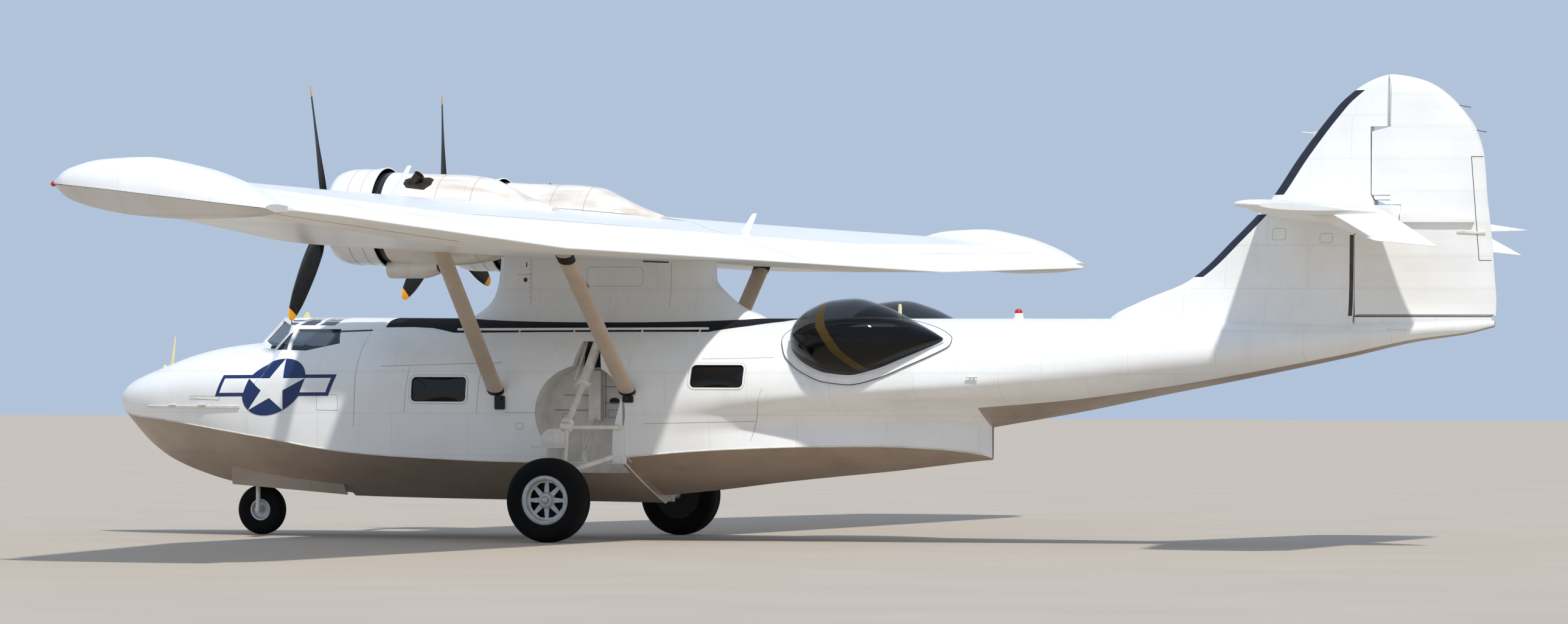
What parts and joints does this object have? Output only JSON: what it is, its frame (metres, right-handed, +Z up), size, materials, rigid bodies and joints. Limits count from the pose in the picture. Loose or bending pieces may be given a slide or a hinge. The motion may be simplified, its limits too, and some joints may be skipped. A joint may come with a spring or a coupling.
{
  "type": "flying boat",
  "caption": "Twin-engined amphibious flying boat with a parasol wing on a pylon, raised wing-tip floats, waist blisters, a tall tail and wheels down.",
  "frame": {"origin": "on the ground under the middle of the length, on the centre plane", "axes": "+X aft, +Y starboard, +Z up"},
  "size_m": [19.46, 31.7, 6.15],
  "materials": {
    "airframe_white": "gloss",
    "fabric_white": "satin",
    "gear_white": "satin",
    "strut_beige": "satin",
    "glazing": "gloss",
    "propeller_black": "satin",
    "engine_steel": "matte",
    "wheel_alloy": "satin",
    "tyre": "matte"
  },
  "bodies": {
    "airframe": {"hull_bow": "airframe_white", "hull_centre": "airframe_white", "hull_waist": "airframe_white", "hull_tail": "airframe_white", "canopy_frame": "airframe_white", "canopy_glass": "glazing", "blister_port": "glazing", "blister_starboard": "glazing", "window_forward_port": "glazing", "window_aft_port": "glazing", "window_forward_starboard": "glazing", "window_aft_starboard": "glazing", "wing_centre": "airframe_white", "trailing_edge_centre": "fabric_white", "wing_outer_port": "airframe_white", "trailing_edge_port": "fabric_white", "wing_outer_starboard": "airframe_white", "trailing_edge_starboard": "fabric_white", "float_port": "airframe_white", "float_starboard": "airframe_white", "pylon": "airframe_white", "strut_front_port": "strut_beige", "strut_front_starboard": "strut_beige", "strut_rear_port": "strut_beige", "strut_rear_starboard": "strut_beige", "nacelle_port": "airframe_white", "nacelle_starboard": "airframe_white", "cowling_port": "airframe_white", "engine_port": "engine_steel", "cowling_starboard": "airframe_white", "engine_starboard": "engine_steel", "tailplane_port": "airframe_white", "tailplane_starboard": "airframe_white", "fin": "airframe_white", "main_leg_port": "gear_white", "main_leg_starboard": "gear_white", "nose_door_port": "airframe_white", "nose_door_starboard": "airframe_white"},
    "propeller_port": {"propeller_port": "propeller_black"},
    "propeller_starboard": {"propeller_starboard": "propeller_black"},
    "main_wheel_port": {"tyre_main_port": "tyre", "wheel_main_port": "wheel_alloy"},
    "main_wheel_starboard": {"tyre_main_starboard": "tyre", "wheel_main_starboard": "wheel_alloy"},
    "nose_gear": {"nose_leg": "gear_white"},
    "nose_wheel": {"tyre_nose": "tyre", "wheel_nose": "wheel_alloy"},
    "rudder": {"rudder": "fabric_white"},
    "elevator_port": {"elevator_port": "fabric_white"},
    "elevator_starboard": {"elevator_starboard": "fabric_white"},
    "aileron_port": {"aileron_port": "fabric_white"},
    "aileron_starboard": {"aileron_starboard": "fabric_white"}
  },
  "joints": [
    {"name": "propeller_spin_port", "type": "hinge", "parent": "airframe", "child": "propeller_port", "pos_m": [-5.756, -2.05, 4.3], "axis": [1, 0, 0], "continuous": true},
    {"name": "propeller_spin_starboard", "type": "hinge", "parent": "airframe", "child": "propeller_starboard", "pos_m": [-5.756, 2.05, 4.3], "axis": [1, 0, 0], "continuous": true},
    {"name": "main_wheel_spin_port", "type": "hinge", "parent": "airframe", "child": "main_wheel_port", "pos_m": [-2.38, -2.49, 0.555], "axis": [0, 1, 0], "continuous": true},
    {"name": "main_wheel_spin_starboard", "type": "hinge", "parent": "airframe", "child": "main_wheel_starboard", "pos_m": [-2.38, 2.49, 0.555], "axis": [0, 1, 0], "continuous": true},
    {"name": "nose_steering", "type": "hinge", "parent": "airframe", "child": "nose_gear", "pos_m": [-7.61, 0, 0.34], "axis": [0, 0, 1], "range_deg": [-30, 30]},
    {"name": "nose_wheel_spin", "type": "hinge", "parent": "nose_gear", "child": "nose_wheel", "pos_m": [-7.61, 0, 0.34], "axis": [0, 1, 0], "continuous": true},
    {"name": "rudder_hinge", "type": "hinge", "parent": "airframe", "child": "rudder", "pos_m": [8.36, 0, 4.5], "axis": [0, 0, 1], "range_deg": [-25, 25]},
    {"name": "elevator_hinge_port", "type": "hinge", "parent": "airframe", "child": "elevator_port", "pos_m": [8.27, -2, 4.278], "axis": [0, 1, 0], "range_deg": [-50, 0]},
    {"name": "elevator_hinge_starboard", "type": "hinge", "parent": "airframe", "child": "elevator_starboard", "pos_m": [8.27, 2, 4.278], "axis": [0, 1, 0], "range_deg": [-50, 0]},
    {"name": "aileron_hinge_starboard", "type": "hinge", "parent": "airframe", "child": "aileron_starboard", "pos_m": [-0.97, 8.9, 3.911], "axis": [0, 0.9996, 0.0287], "range_deg": [-20, 20]},
    {"name": "aileron_hinge_port", "type": "hinge", "parent": "airframe", "child": "aileron_port", "pos_m": [-0.97, -8.9, 3.911], "axis": [0, 0.9996, -0.0287], "range_deg": [-20, 20]}
  ],
  "couplings": [
    {"joint": "elevator_hinge_starboard", "follows": "elevator_hinge_port", "ratio": 1},
    {"joint": "aileron_hinge_port", "follows": "aileron_hinge_starboard", "ratio": -1}
  ]
}
